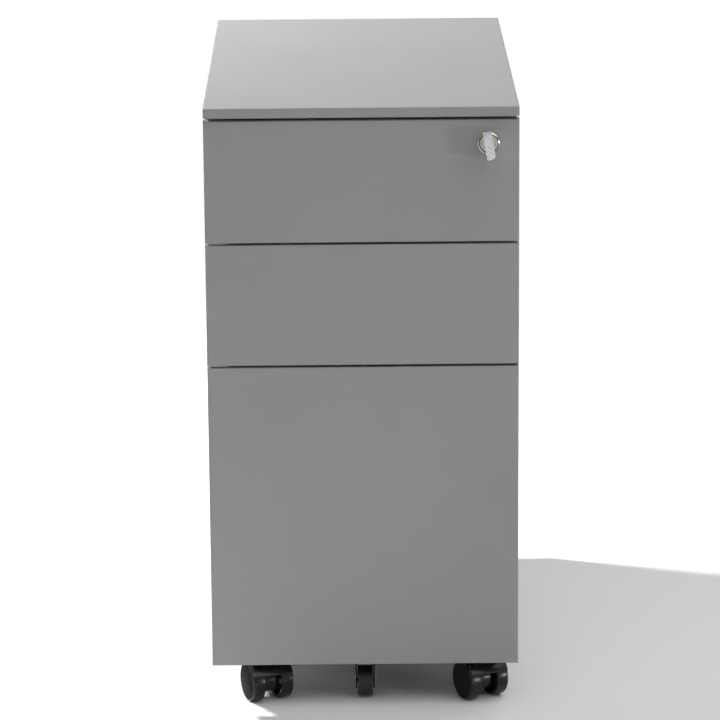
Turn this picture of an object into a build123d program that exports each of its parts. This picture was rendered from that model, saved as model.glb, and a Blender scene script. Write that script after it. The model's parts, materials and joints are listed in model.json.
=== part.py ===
from build123d import *
import os
from math import cos, pi, radians, sin, sqrt

# A slim steel drawer pedestal on castors, in millimetres, +Z up, its fronts facing -Y.
# The origin is on the floor, under the middle of the overall box with the key in the lock.

# Overall size
WIDTH = 300.0
DEPTH = 500.0
HEIGHT = 600.0

# Sheet steel: gauges, the outside radius of a fold, and the room between nested sheets
CASE_SHEET = 0.8
TOP_SHEET = 1.0
FRONT_SHEET = 0.8
TRAY_SHEET = 0.8
FOLD = 1.2
FIT = 0.2
EDGE_ROOM = 0.6

# Top panel, a shallow pan turned over
TOP_LIP = 9.5
TOP_RETURN = 12.0
TOP_EDGE = 1.6

# Case
SIDE_FLANGE = 14.0
SIDE_HEM = 10.0
BACK_FLANGE = 12.0
BASE_UPSTAND = 6.0
RAIL_DEPTH = 25.0
RAIL_ROOM = 2.0
CHANNEL_SHEET = 1.2
CHANNEL_CROWN = 24.0
CHANNEL_FLANGE = 6.0
CHANNEL_HEIGHT = 6.0
CHANNEL_ROOM = 1.2

# Drawer fronts: gaps, pan, and the finger pull down each side
TOP_GAP = 3.0
FRONT_GAP = 2.2
SMALL_FRONT = 118.7
FRONT_CLEARANCE = 1.5
FRONT_SETBACK = 3.0
FRONT_DEPTH = 9.5
FRONT_EDGE = 1.2
PULL_REACH = 13.0
PULL_WIDTH = 16.0
LINER_INSET = 3.0
LINER_FLANGE = 8.0
CASE_GAP = 1.5

# Trays
TRAY_LENGTH = 396.0
SMALL_TRAY_RISE = 12.0
TRAY_LOCK_GAP = 3.0
TRAY_CLEARANCE = 2.0
TRAY_HEM = 8.0
FILE_HEADROOM = 51.0
FILE_SIDE_HEIGHT = 150.0
FILE_POST = 25.0
FILE_SLOPE = 60.0
FILE_SLOPE_RADIUS = 15.0
HANG_SHEET = 1.0
HANG_LEG = 12.0

# Ball-bearing slides
SLIDE_WIDTH = 12.7
SLIDE_SHEET = 1.2
SLIDE_LENGTH = 350.0
SLIDE_START = 22.0
SMALL_SLIDE_RISE = 22.0
FILE_SLIDE_RISE = 60.0
SMALL_TRAVEL = 262.0
FILE_TRAVEL = 350.0
INNER_HALF = 12.1
BALL_ROOM = 4.0
BALL_CLEARANCE = 0.3
RACE_REACH = 9.8
RACE_LIP = 2.6
CAGE_ROOM = 1.4
CAGE_WALL = 0.6
CAGE_STANDOFF = 0.4
CAGE_REACH = 5.4
CAGE_MARGIN = 4.0

# Lock in the top drawer, and its key
LOCK_FROM_EDGE = 29.2
LOCK_FROM_TOP = 23.1
LOCK_TURN = 90.0
BEZEL_DIAMETER = 22.0
BEZEL_DEPTH = 2.5
BARREL_DIAMETER = 18.8
BARREL_ROOM = 0.1
BARREL_END = 1.0
PLUG_DIAMETER = 16.8
PLUG_FIT = 0.05
PLUG_SEAT = 0.1
TAIL_SIDE = 7.0
TAIL_END = 1.0
NUT_ACROSS = 23.0
NUT_THICKNESS = 3.0
KEY_TILT = 9.9
KEY_SHEET = 2.0
KEY_BLADE = 7.5
KEY_LENGTH = 20.0
KEY_ROOM = 0.25
KEY_NECK = 3.0
KEY_TANG = 8.0
KEY_BIT = 1.4
KEY_BITS = 4
KEY_HEAD_THICKNESS = 8.5
KEY_HEAD_HEIGHT = 25.5
KEY_HEAD_DEPTH = 18.0
KEY_HEAD_CORNER = 4.0
KEY_HEAD_CUT = 3.5
KEY_RING_HOLE = 4.5

# Lock bar that the cam lifts to hold all drawers
CAM_SHEET = 2.0
CAM_BASE = 8.0
CAM_CLEARANCE = 0.3
LOCK_LIFT = 12.0
BAR_SHEET = 2.0
BAR_ROOM = 1.2
BAR_STANDOFF = 0.2
BAR_END = 6.0
BAR_ARM_END = 4.0
FINGER_HEIGHT = 8.0
FINGER_REACH = 7.3
FINGER_CLEARANCE = 2.0
CATCH_SHEET = 1.2
CATCH_REACH = 7.0
CATCH_FOOT = 10.0
CATCH_ROOM = 1.0
GUIDE_SHEET = 0.8
GUIDE_HEIGHT = 12.0
GUIDE_FOOT = 8.0
GUIDE_ROOM = 0.3
GUIDE_RISE = 55.0

# Castors: twin wheels under a hood, turning on a kingpin
WHEEL_DIAMETER = 40.0
WHEEL_WIDTH = 12.4
WHEEL_GAP = 17.2
WHEEL_CAP = 1.2
AXLE_DIAMETER = 4.0
AXLE_FIT = 0.05
AXLE_END = 0.3
TRAIL = 20.0
HOOD_WALL = 1.5
HOOD_WIDTH = 40.0
HOOD_START = 48.0
HOOD_SWEEP = 107.0
HOOD_FLATS = 5
WEB_SWEEP = 72.0
TREAD_ROOM = 0.7
SIDE_ROOM = 0.6
HUB_HALF = 7.0
NECK_HEIGHT = 5.8
CASTOR_PLATE = 2.0
CASTOR_PLATE_SIZE = 38.0
CASTOR_PLATE_CORNER = 5.0
KINGPIN_DIAMETER = 8.0
KINGPIN_FIT = 0.05
KINGPIN_END = 0.5
CASTOR_FROM_SIDE = 45.0
CASTOR_FROM_BACK = 50.0
FRONT_LEFT_ANGLE = 22.0
FRONT_RIGHT_ANGLE = 27.0
REAR_LEFT_ANGLE = -160.0
REAR_RIGHT_ANGLE = 165.0

# Fifth castor under the filing drawer
FIFTH_DIAMETER = 30.0
FIFTH_WIDTH = 15.0
FIFTH_SETBACK = 32.0
FIFTH_LIFT = 1.5
FORK_SHEET = 1.6
FORK_ROOM = 0.5
FORK_END = 8.0
FORK_PLATE_TAIL = 12.0
FIFTH_AXLE = 4.0

# Heights, from the floor up
hood_top = WHEEL_DIAMETER + TREAD_ROOM + HOOD_WALL
front_bottom = hood_top + FRONT_CLEARANCE
plate_bottom = hood_top + NECK_HEIGHT
base_bottom = plate_bottom + CASTOR_PLATE
base_top = base_bottom + CASE_SHEET
case_bottom = base_bottom - CASE_SHEET
case_top = HEIGHT - TOP_SHEET
lip_bottom = HEIGHT - TOP_LIP

# Lower and upper edge of each drawer front
top_front_z = (lip_bottom - TOP_GAP - SMALL_FRONT, lip_bottom - TOP_GAP)
middle_front_z = (top_front_z[0] - FRONT_GAP - SMALL_FRONT, top_front_z[0] - FRONT_GAP)
file_front_z = (front_bottom, middle_front_z[0] - FRONT_GAP)

# Depths, from the key and the top's front edge to the back
key_out = BEZEL_DEPTH + KEY_NECK + KEY_HEAD_DEPTH - FRONT_SETBACK
top_y = (key_out - DEPTH) / 2
back_y = top_y + DEPTH
face_y = top_y + FRONT_SETBACK
pan_y = face_y + FRONT_DEPTH
liner_y = pan_y + PULL_WIDTH
case_y = liner_y + CASE_GAP
case_back_y = back_y - TOP_SHEET - FIT
slide_y = case_y + SLIDE_START

# Half widths
case_x = WIDTH / 2 - TOP_SHEET - FIT
web_x = case_x - CASE_SHEET
cross_x = web_x - CASE_SHEET - EDGE_ROOM
tray_x = web_x - SLIDE_WIDTH
liner_x = WIDTH / 2 - PULL_REACH

# Lock axis, lock bar and the heights that follow from them
lock_x = WIDTH / 2 - LOCK_FROM_EDGE
lock_z = top_front_z[1] - LOCK_FROM_TOP
bar_x = web_x - BAR_STANDOFF - BAR_SHEET / 2
bar_y = (case_y + SIDE_HEM + BAR_ROOM, slide_y - BAR_ROOM)
arm_bottom = lock_z + CAM_BASE + CAM_CLEARANCE
rail_bottom = arm_bottom + BAR_SHEET + LOCK_LIFT + RAIL_ROOM
cam_y = (bar_y[0] + bar_y[1] - CAM_SHEET) / 2
cam_rate = LOCK_LIFT / radians(LOCK_TURN)
liner_depth = liner_y - face_y

# Tray and slide heights
small_tray_height = lock_z - NUT_ACROSS / sqrt(3) - TRAY_LOCK_GAP - top_front_z[0] - SMALL_TRAY_RISE
top_tray_z = top_front_z[0] + SMALL_TRAY_RISE
middle_tray_z = middle_front_z[0] + SMALL_TRAY_RISE
file_tray_z = base_top + CHANNEL_HEIGHT + TRAY_CLEARANCE
file_end_height = middle_tray_z - file_tray_z - FILE_HEADROOM
top_slide_z = top_tray_z + SMALL_SLIDE_RISE
middle_slide_z = middle_tray_z + SMALL_SLIDE_RISE
file_slide_z = file_tray_z + FILE_SLIDE_RISE

# Half heights of the nested slide members
middle_half = INNER_HALF + BALL_ROOM + SLIDE_SHEET
small_outer_half = middle_half
file_outer_half = middle_half + BALL_ROOM + SLIDE_SHEET

# Underside of the catch on each tray, above every slide member that passes the lock bar
small_catch_rise = max(small_outer_half, INNER_HALF + FINGER_HEIGHT) + FINGER_CLEARANCE + CATCH_ROOM
file_catch_rise = max(file_outer_half, middle_half + FINGER_HEIGHT) + FINGER_CLEARANCE + CATCH_ROOM
catch_z = {
    "top": top_slide_z + small_catch_rise,
    "middle": middle_slide_z + small_catch_rise,
    "file": file_slide_z + file_catch_rise,
}

# Castor pivots and how far each castor is turned about its kingpin
castor_x = WIDTH / 2 - CASTOR_FROM_SIDE
castor_front_y = case_y + CASE_SHEET + CHANNEL_ROOM + CHANNEL_FLANGE + CHANNEL_CROWN / 2
castor_back_y = back_y - CASTOR_FROM_BACK
CASTORS = {
    "front_left": (-castor_x, castor_front_y, FRONT_LEFT_ANGLE),
    "front_right": (castor_x, castor_front_y, FRONT_RIGHT_ANGLE),
    "rear_left": (-castor_x, castor_back_y, REAR_LEFT_ANGLE),
    "rear_right": (castor_x, castor_back_y, REAR_RIGHT_ANGLE),
}


def block(low, high):
    """A box between two corners."""
    size = [h - l for l, h in zip(low, high)]
    middle = [(h + l) / 2 for l, h in zip(low, high)]
    return Pos(*middle) * Box(*size)


def folded(points, gauge):
    """The section of a sheet folded along its middle line."""
    line = [Vector(*point) for point in points]
    ways = [(b - a).normalized() for a, b in zip(line, line[1:])]
    sides = [Vector(-way.Y, way.X) for way in ways]
    corners = zip([sides[0], *sides], [*sides, sides[-1]])
    steps = [(a + b) * (gauge / 2 / (1 + a.dot(b))) for a, b in corners]
    left = [point + step for point, step in zip(line, steps)]
    right = [point - step for point, step in zip(line, steps)]
    return outline([*left, *reversed(right)])


def outline(points):
    """A face with straight sides."""
    return make_face(Polyline(*points, close=True))


def along_x(section, start, end):
    """Run a section drawn in Y and Z along X."""
    return extrude(Pos(start, 0, 0) * (Plane.YZ * section), amount=end - start)


def along_y(section, start, end):
    """Run a section drawn in X and Z along Y."""
    return extrude(Pos(0, end, 0) * (Plane.XZ * section), amount=end - start)


def along_z(section, start, end):
    """Run a section drawn in X and Y along Z."""
    return extrude(Pos(0, 0, start) * section, amount=end - start)


def lathe(points):
    """Turn an outline of radius and height about Z."""
    return revolve(Plane.XZ * outline(points), Axis.Z)


def mirrored(part):
    """The same piece for the other side of the cabinet."""
    return mirror(part, about=Plane.YZ)


def both_sides(part):
    """A piece and its mirror image, as two solids."""
    return Compound([part.solid(), mirrored(part).solid()])


# Case


def top_panel():
    """A shallow pan turned over, with a return under the front lip."""
    slab = block((-WIDTH / 2, top_y, lip_bottom), (WIDTH / 2, back_y, HEIGHT))
    slab = fillet(slab.faces().sort_by(Axis.Z)[-1].edges(), TOP_EDGE)
    pan = offset(slab, amount=-TOP_SHEET, openings=slab.faces().sort_by(Axis.Z)[0])
    half = WIDTH / 2 - TOP_SHEET
    low = (-half, top_y + TOP_SHEET, lip_bottom)
    high = (half, top_y + TOP_RETURN, lip_bottom + TOP_SHEET)
    return pan + block(low, high)


def side_panel():
    """Right side: top, bottom and rear flanges turned in, and a flat hem down the front edge."""
    solid = block((case_x - SIDE_FLANGE, case_y, case_bottom), (case_x, case_back_y, case_top))
    outer_edges = solid.faces().sort_by(Axis.X)[-1].edges()
    solid = fillet(outer_edges.sort_by(Axis.Y)[1:], FOLD)
    openings = [solid.faces().sort_by(Axis.X)[0], solid.faces().sort_by(Axis.Y)[0]]
    panel = offset(solid, amount=-CASE_SHEET, openings=openings)
    inset = CASE_SHEET + EDGE_ROOM
    low = (web_x - CASE_SHEET, case_y, case_bottom + inset)
    high = (web_x, case_y + SIDE_HEM, case_top - inset)
    return panel + block(low, high)


def back_panel():
    y = case_back_y - 1.5 * CASE_SHEET
    upper = case_top - 1.5 * CASE_SHEET
    lower = base_top + CASE_SHEET / 2
    line = [(y - BACK_FLANGE, upper), (y, upper), (y, lower), (y - BACK_FLANGE, lower)]
    return along_x(folded(line, CASE_SHEET), -web_x + EDGE_ROOM, web_x - EDGE_ROOM)


def base_panel():
    y = case_y + CASE_SHEET / 2
    z = base_bottom + CASE_SHEET / 2
    line = [(y, base_bottom + BASE_UPSTAND), (y, z), (case_back_y - CASE_SHEET - FIT, z)]
    return along_x(folded(line, CASE_SHEET), -cross_x, cross_x)


def top_front_rail():
    y = case_y + CASE_SHEET / 2
    z = case_top - 1.5 * CASE_SHEET
    line = [(y, rail_bottom), (y, z), (case_y + RAIL_DEPTH, z)]
    return along_x(folded(line, CASE_SHEET), -cross_x, cross_x)


def castor_channel(y):
    """A hat section across the base that stiffens it over two castors."""
    foot = base_top + CHANNEL_SHEET / 2
    crown = base_top + CHANNEL_HEIGHT - CHANNEL_SHEET / 2
    near = CHANNEL_CROWN / 2
    far = near + CHANNEL_FLANGE
    line = [(-far, foot), (-near, foot), (-near, crown), (near, crown), (near, foot), (far, foot)]
    return along_x(folded([(y + a, z) for a, z in line], CHANNEL_SHEET), -cross_x, cross_x)


# Slides, drawn on the right: reach is measured inwards from the side panel


def slide_section(line, z):
    return folded([(web_x - reach, z + rise) for reach, rise in line], SLIDE_SHEET)


def slide_member(line, z):
    return along_y(slide_section(line, z), slide_y, slide_y + SLIDE_LENGTH)


def slide_outer(half, z):
    """The member on the side panel: a channel whose lips keep the balls in."""
    web = SLIDE_SHEET / 2
    lip = RACE_REACH - web
    edge = half - web
    tip = edge - RACE_LIP
    return slide_member(
        [(lip, tip), (lip, edge), (web, edge), (web, -edge), (lip, -edge), (lip, -tip)], z
    )


def slide_middle(z):
    web = 1.5 * SLIDE_SHEET + CAGE_ROOM
    edge = middle_half - SLIDE_SHEET / 2
    return slide_member([(RACE_REACH, edge), (web, edge), (web, -edge), (RACE_REACH, -edge)], z)


def slide_inner(z):
    web = SLIDE_WIDTH - SLIDE_SHEET / 2
    tip = 2 * (SLIDE_SHEET + CAGE_ROOM) + FIT
    edge = INNER_HALF - SLIDE_SHEET / 2
    return slide_member([(tip, edge), (web, edge), (web, -edge), (tip, -edge)], z)


def ball_cage(inside, start, z, travel):
    """The moulded cage that spaces the balls between two members, at its place with the drawer shut."""
    middle = inside + BALL_ROOM / 2
    half = BALL_ROOM / 2 - BALL_CLEARANCE
    web = start + CAGE_WALL
    end = start + CAGE_REACH
    low = middle - half
    high = middle + half
    line = [
        (start, high), (end, high), (end, low), (web, low),
        (web, -low), (end, -low), (end, -high), (start, -high),
    ]
    section = outline([(web_x - reach, z + rise) for reach, rise in line])
    margin = travel / 2 + CAGE_MARGIN
    return along_y(section, slide_y + margin, slide_y + SLIDE_LENGTH - margin)


# Drawers


def lock_hole():
    radius = BARREL_DIAMETER / 2 + BARREL_ROOM
    return along_y(Pos(lock_x, lock_z) * Circle(radius), face_y - FRONT_SHEET, case_y)


def drawer_front(edges_z):
    """A folded pan whose side returns end in the lips that the fingers pull on."""
    low, high = edges_z
    solid = block((-WIDTH / 2, face_y, low), (WIDTH / 2, pan_y, high))
    solid = fillet(solid.faces().sort_by(Axis.Y)[0].edges(), FRONT_EDGE)
    pan = offset(solid, amount=-FRONT_SHEET, openings=solid.faces().sort_by(Axis.Y)[-1])
    lip = block(
        (liner_x, pan_y - FRONT_SHEET, low + FRONT_SHEET),
        (WIDTH / 2 - FRONT_SHEET, pan_y, high - FRONT_SHEET),
    )
    return pan + lip + mirrored(lip)


def front_liner(edges_z):
    """The narrower box behind a front, which leaves the finger pulls open at its sides."""
    low = edges_z[0] + LINER_INSET
    high = edges_z[1] - LINER_INSET
    solid = block((-liner_x, pan_y, low), (liner_x, liner_y, high))
    box = offset(solid, amount=-FRONT_SHEET, openings=solid.faces().sort_by(Axis.Y)[0])
    flange = block((liner_x, pan_y, low), (liner_x + LINER_FLANGE, pan_y + FRONT_SHEET, high))
    return box + flange + mirrored(flange)


def tray_hem(side_top, ends):
    """Doubled top edges of a tray's two sides."""
    low = (tray_x - 2 * TRAY_SHEET, liner_y + ends, side_top - TRAY_HEM)
    high = (tray_x - TRAY_SHEET, liner_y + TRAY_LENGTH - ends, side_top)
    hem = block(low, high)
    return hem + mirrored(hem)


def drawer_catch(z):
    """The angle on a tray's right side that a finger of the lock bar stands in front of."""
    y = bar_y[1] + CATCH_ROOM + CATCH_SHEET / 2
    x = tray_x + CATCH_SHEET / 2
    angle = folded([(tray_x + CATCH_REACH, y), (x, y), (x, y + CATCH_FOOT)], CATCH_SHEET)
    return along_z(angle, z, z + FINGER_HEIGHT)


def tray(z, height):
    """A floor folded up into two sides, closed by a wall at each end."""
    side = tray_x - TRAY_SHEET / 2
    floor = z + TRAY_SHEET / 2
    line = [(-side, z + height), (-side, floor), (side, floor), (side, z + height)]
    back = liner_y + TRAY_LENGTH
    box = along_y(folded(line, TRAY_SHEET), liner_y, back)
    for start in (liner_y, back - TRAY_SHEET):
        box += block((-side, start, floor), (side, start + TRAY_SHEET, z + height))
    return box


def small_tray(z):
    return tray(z, small_tray_height) + tray_hem(z + small_tray_height, TRAY_SHEET)


def file_tray():
    """The filing tray: high ends to hang files from, sides cut down between them."""
    top = file_tray_z + file_end_height
    side_top = file_tray_z + FILE_SIDE_HEIGHT
    near = liner_y + FILE_POST
    far = liner_y + TRAY_LENGTH - FILE_POST
    cut_line = FilletPolyline(
        (near, top + TRAY_HEM),
        (near, top),
        (near + FILE_SLOPE, side_top),
        (far - FILE_SLOPE, side_top),
        (far, top),
        (far, top + TRAY_HEM),
        radius=[0, FILE_SLOPE_RADIUS, FILE_SLOPE_RADIUS, 0],
    )
    cut = make_face([*cut_line.edges(), Line(cut_line @ 1, cut_line @ 0)])
    walls = tray(file_tray_z, file_end_height) - along_x(cut, -WIDTH / 2, WIDTH / 2)
    hem_start = FILE_POST + FILE_SLOPE + FILE_SLOPE_RADIUS
    return walls + tray_hem(side_top, hem_start)


def hang_rails():
    """Caps on the filing tray's two end walls that hanging files hook over."""
    top = file_tray_z + file_end_height + HANG_SHEET / 2
    leg = TRAY_SHEET + HANG_SHEET / 2
    half = tray_x - TRAY_SHEET - EDGE_ROOM
    rails = []
    for wall, inwards in ((liner_y, 1), (liner_y + TRAY_LENGTH, -1)):
        y = wall + inwards * leg
        line = [(y, top - HANG_LEG), (y, top), (wall, top)]
        rails.append(along_x(folded(line, HANG_SHEET), -half, half).solid())
    return Compound(rails)


# Lock, drawn looking at the front: X right, Y up, Z out of the face

LOCK_PLACE = Pos(lock_x, face_y, lock_z) * Rot(90, 0, 0)
barrel_length = liner_depth + NUT_THICKNESS + BARREL_END


def lock_housing():
    bezel = BEZEL_DIAMETER / 2
    barrel = BARREL_DIAMETER / 2
    bore = PLUG_DIAMETER / 2 + PLUG_FIT
    return LOCK_PLACE * lathe([
        (bore, -barrel_length),
        (barrel, -barrel_length),
        (barrel, 0),
        (bezel, 0),
        (bezel, BEZEL_DEPTH),
        (bore, BEZEL_DEPTH),
    ])


def lock_nut():
    nut = RegularPolygon(NUT_ACROSS / 2, 6, major_radius=False) - Circle(BARREL_DIAMETER / 2)
    return LOCK_PLACE * along_z(nut, -liner_depth - NUT_THICKNESS, -liner_depth)


def lock_plug():
    shaft_end = -barrel_length - PLUG_SEAT
    tail_end = -(cam_y + CAM_SHEET - face_y) - TAIL_END
    turned = lathe([
        (0, BEZEL_DEPTH),
        (PLUG_DIAMETER / 2, BEZEL_DEPTH),
        (PLUG_DIAMETER / 2, shaft_end),
        (0, shaft_end),
    ])
    turned += along_z(Rectangle(TAIL_SIDE, TAIL_SIDE), tail_end, shaft_end)
    keyway = Rectangle(KEY_SHEET + 2 * KEY_ROOM, KEY_BLADE + 2 * KEY_ROOM)
    slot = along_z(Rot(0, 0, KEY_TILT) * keyway, -KEY_LENGTH - KEY_ROOM, BEZEL_DEPTH)
    return LOCK_PLACE * (turned - slot)


def lock_cam():
    """A cam with an involute edge, so that the bar's flat arm rises evenly as the key turns."""
    points = []
    for share in (0, 0.25, 0.5, 0.75, 1):
        turn = radians(LOCK_TURN) * share
        facing = pi / 2 + turn
        rise = CAM_BASE + cam_rate * turn
        points.append((
            rise * cos(facing) - cam_rate * sin(facing),
            rise * sin(facing) + cam_rate * cos(facing),
        ))
    heel = (-CAM_BASE * cos(pi / 3), -CAM_BASE * sin(pi / 3))
    side = (CAM_BASE * cos(pi / 4), -CAM_BASE * sin(pi / 4))
    crown = (0, CAM_BASE)
    face = make_face([
        Line(crown, points[0]),
        ThreePointArc(*points[:3]),
        ThreePointArc(*points[2:]),
        Line(points[-1], heel),
        ThreePointArc(heel, side, crown),
    ])
    front = -(cam_y - face_y)
    return LOCK_PLACE * along_z(face - Rectangle(TAIL_SIDE, TAIL_SIDE), front - CAM_SHEET, front)


def key_blade():
    """The key's blade, notched along its lower edge, with the tang that the head is moulded on."""
    tip = -KEY_LENGTH
    shank = BEZEL_DEPTH + KEY_NECK
    line = [(KEY_BLADE / 2, tip), (KEY_BLADE / 2, shank + KEY_TANG), (-KEY_BLADE / 2, shank + KEY_TANG)]
    pitch = KEY_LENGTH / (KEY_BITS + 1)
    for bit in range(KEY_BITS):
        middle = -bit * pitch - pitch / 2
        line.append((-KEY_BLADE / 2, middle + pitch / 2))
        line.append((-KEY_BLADE / 2 + KEY_BIT, middle))
    line.append((-KEY_BLADE / 2, tip + pitch))
    line.append((0, tip))
    blade = along_x(outline(line), -KEY_SHEET / 2, KEY_SHEET / 2)
    return LOCK_PLACE * Rot(0, 0, KEY_TILT) * blade


def key_head():
    """The thick moulded bow of the key, with a hole for a ring."""
    start = BEZEL_DEPTH + KEY_NECK
    profile = RectangleRounded(KEY_HEAD_HEIGHT, KEY_HEAD_DEPTH, KEY_HEAD_CORNER)
    profile = Pos(0, start + KEY_HEAD_DEPTH / 2) * profile
    head = along_x(profile, -KEY_HEAD_THICKNESS / 2, KEY_HEAD_THICKNESS / 2)
    ring = Pos(0, start + KEY_HEAD_DEPTH - KEY_RING_HOLE) * Circle(KEY_RING_HOLE / 2)
    tang = block(
        (-KEY_SHEET / 2, -KEY_BLADE / 2, start),
        (KEY_SHEET / 2, KEY_BLADE / 2, start + KEY_TANG),
    )
    side = KEY_HEAD_THICKNESS / 2
    foot = -KEY_HEAD_HEIGHT / 2
    corner = outline([(side, foot), (side, foot + KEY_HEAD_CUT), (side - KEY_HEAD_CUT, foot)])
    head -= along_z(corner, start, start + KEY_HEAD_DEPTH)
    head -= along_x(ring, -KEY_HEAD_THICKNESS, KEY_HEAD_THICKNESS)
    return LOCK_PLACE * Rot(0, 0, KEY_TILT) * (head - tang)


def lock_bar():
    """The upright bar: an arm over the cam at its top, and a finger below each tray's catch."""
    arm_z = arm_bottom + BAR_SHEET / 2
    lowest = min(catch_z.values()) - FINGER_CLEARANCE - FINGER_HEIGHT - BAR_END
    arm_end = lock_x - cam_rate - BAR_ARM_END
    bar = along_y(folded([(bar_x, lowest), (bar_x, arm_z), (arm_end, arm_z)], BAR_SHEET), *bar_y)
    face = bar_x - BAR_SHEET / 2
    for z in catch_z.values():
        top = z - FINGER_CLEARANCE
        low = (face - FINGER_REACH, bar_y[1] - BAR_SHEET, top - FINGER_HEIGHT)
        bar += block(low, (face + BAR_SHEET / 2, bar_y[1], top))
    return bar


def lock_bar_guides():
    """Two bent clips on the right side panel that the lock bar slides in."""
    half = GUIDE_SHEET / 2
    foot = web_x - half
    over = bar_x - BAR_SHEET / 2 - GUIDE_ROOM - half
    front = bar_y[0] - GUIDE_ROOM - half
    rear = bar_y[1] + GUIDE_ROOM + half
    line = [(foot, rear + GUIDE_FOOT), (foot, rear), (over, rear), (over, front), (bar_x, front)]
    clip = folded(line, GUIDE_SHEET)
    clips = []
    for z in (file_slide_z, middle_slide_z):
        clips.append(along_z(clip, z + GUIDE_RISE, z + GUIDE_RISE + GUIDE_HEIGHT).solid())
    return Compound(clips)


# Castors, drawn with the kingpin on Z and the wheels trailing towards -Y

wheel_radius = WHEEL_DIAMETER / 2
wheel_inside = WHEEL_GAP / 2
wheel_outside = wheel_inside + WHEEL_WIDTH
core_half = wheel_inside - SIDE_ROOM
AXLE_PLACE = Pos(0, -TRAIL, wheel_radius) * Rot(0, 90, 0)


def castor_wheel():
    """The right wheel, on a blind bore."""
    bore = AXLE_DIAMETER / 2 + AXLE_FIT
    cap = wheel_outside - WHEEL_CAP
    return AXLE_PLACE * lathe([
        (bore, wheel_inside),
        (wheel_radius, wheel_inside),
        (wheel_radius, wheel_outside),
        (0, wheel_outside),
        (0, cap),
        (bore, cap),
    ])


def castor_hood():
    """The hood over both wheels, and the web between them with its stub axles and kingpin."""
    centre = (-TRAIL, wheel_radius)
    inner = wheel_radius + TREAD_ROOM
    outside = CenterArc(centre, inner + HOOD_WALL, HOOD_START, HOOD_SWEEP)
    flat = HOOD_SWEEP / HOOD_FLATS
    knees = CenterArc(centre, inner / cos(radians(flat / 2)), HOOD_START, HOOD_SWEEP)
    inside = Polyline(*[knees @ (step / HOOD_FLATS) for step in range(HOOD_FLATS + 1)])
    ends = [Line(outside @ 1, inside @ 1), Line(inside @ 0, outside @ 0)]
    wall = make_face([outside, *inside.edges(), *ends])
    crest = CenterArc(centre, inner + HOOD_WALL / 2, HOOD_START, WEB_SWEEP)
    pin = KINGPIN_DIAMETER / 2
    hub_low = wheel_radius - HUB_HALF
    base = Polyline(
        crest @ 1,
        (-TRAIL - HUB_HALF, wheel_radius),
        (-TRAIL - HUB_HALF, hub_low),
        (-TRAIL + HUB_HALF, hub_low),
        (pin, wheel_radius),
        (pin, (crest @ 0).Y),
        crest @ 0,
    )
    web = make_face([crest, *base.edges()])
    hood = along_x(wall, -HOOD_WIDTH / 2, HOOD_WIDTH / 2) + along_x(web, -core_half, core_half)
    hood += along_z(Circle(pin), wheel_radius, base_bottom - KINGPIN_END)
    axle_end = wheel_outside - WHEEL_CAP - AXLE_END
    return hood + AXLE_PLACE * Cylinder(AXLE_DIAMETER / 2, 2 * axle_end)


def castor_plate():
    """The plate under the base that the kingpin turns in."""
    plate = Rectangle(CASTOR_PLATE_SIZE, CASTOR_PLATE_SIZE)
    plate = chamfer(plate.vertices(), CASTOR_PLATE_CORNER)
    plate -= Circle(KINGPIN_DIAMETER / 2 + KINGPIN_FIT)
    return along_z(plate, plate_bottom, base_bottom)


def castor_plates():
    plate = castor_plate()
    return Compound([(Pos(x, y, 0) * plate).solid() for x, y, turn in CASTORS.values()])


# Fifth castor

fifth_y = face_y + FIFTH_SETBACK
fifth_z = FIFTH_DIAMETER / 2 + FIFTH_LIFT
FIFTH_PLACE = Pos(0, fifth_y, fifth_z) * Rot(0, 90, 0)
fork_inside = FIFTH_WIDTH / 2 + FORK_ROOM


def fifth_fork():
    """A folded fork under the filing drawer, its legs trimmed about the axle riveted in them."""
    top = file_front_z[0] + LINER_INSET
    bend = top - FORK_SHEET / 2
    leg = fork_inside + FORK_SHEET / 2
    section = folded([(-leg, 0), (-leg, bend), (leg, bend), (leg, 0)], FORK_SHEET)
    start = pan_y + FIT
    end = fifth_y + FORK_PLATE_TAIL
    channel = along_y(section, start, end)
    tip = Pos(fifth_y, fifth_z) * RegularPolygon(FORK_END, 8, major_radius=False)
    shoulder = top - FIT - 2 * FORK_SHEET
    yoke = Polyline((start, top), (end, top), (end, shoulder), (start, shoulder), close=True)
    side = make_hull([*tip.edges(), *yoke.edges()])
    fork = channel & along_x(side, -WIDTH, WIDTH)
    return fork + FIFTH_PLACE * Cylinder(FIFTH_AXLE / 2, 2 * fork_inside + FORK_SHEET)


def fifth_wheel():
    bore = FIFTH_AXLE / 2 + AXLE_FIT
    ring = Circle(FIFTH_DIAMETER / 2) - Circle(bore)
    return FIFTH_PLACE * along_z(ring, -FIFTH_WIDTH / 2, FIFTH_WIDTH / 2)


# The pieces, by node name

right_side = side_panel()
channels = [castor_channel(y).solid() for y in (castor_front_y, castor_back_y)]
small_rails = [slide_outer(small_outer_half, z) for z in (top_slide_z, middle_slide_z)]
small_rails += [mirrored(rail) for rail in small_rails]

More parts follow.
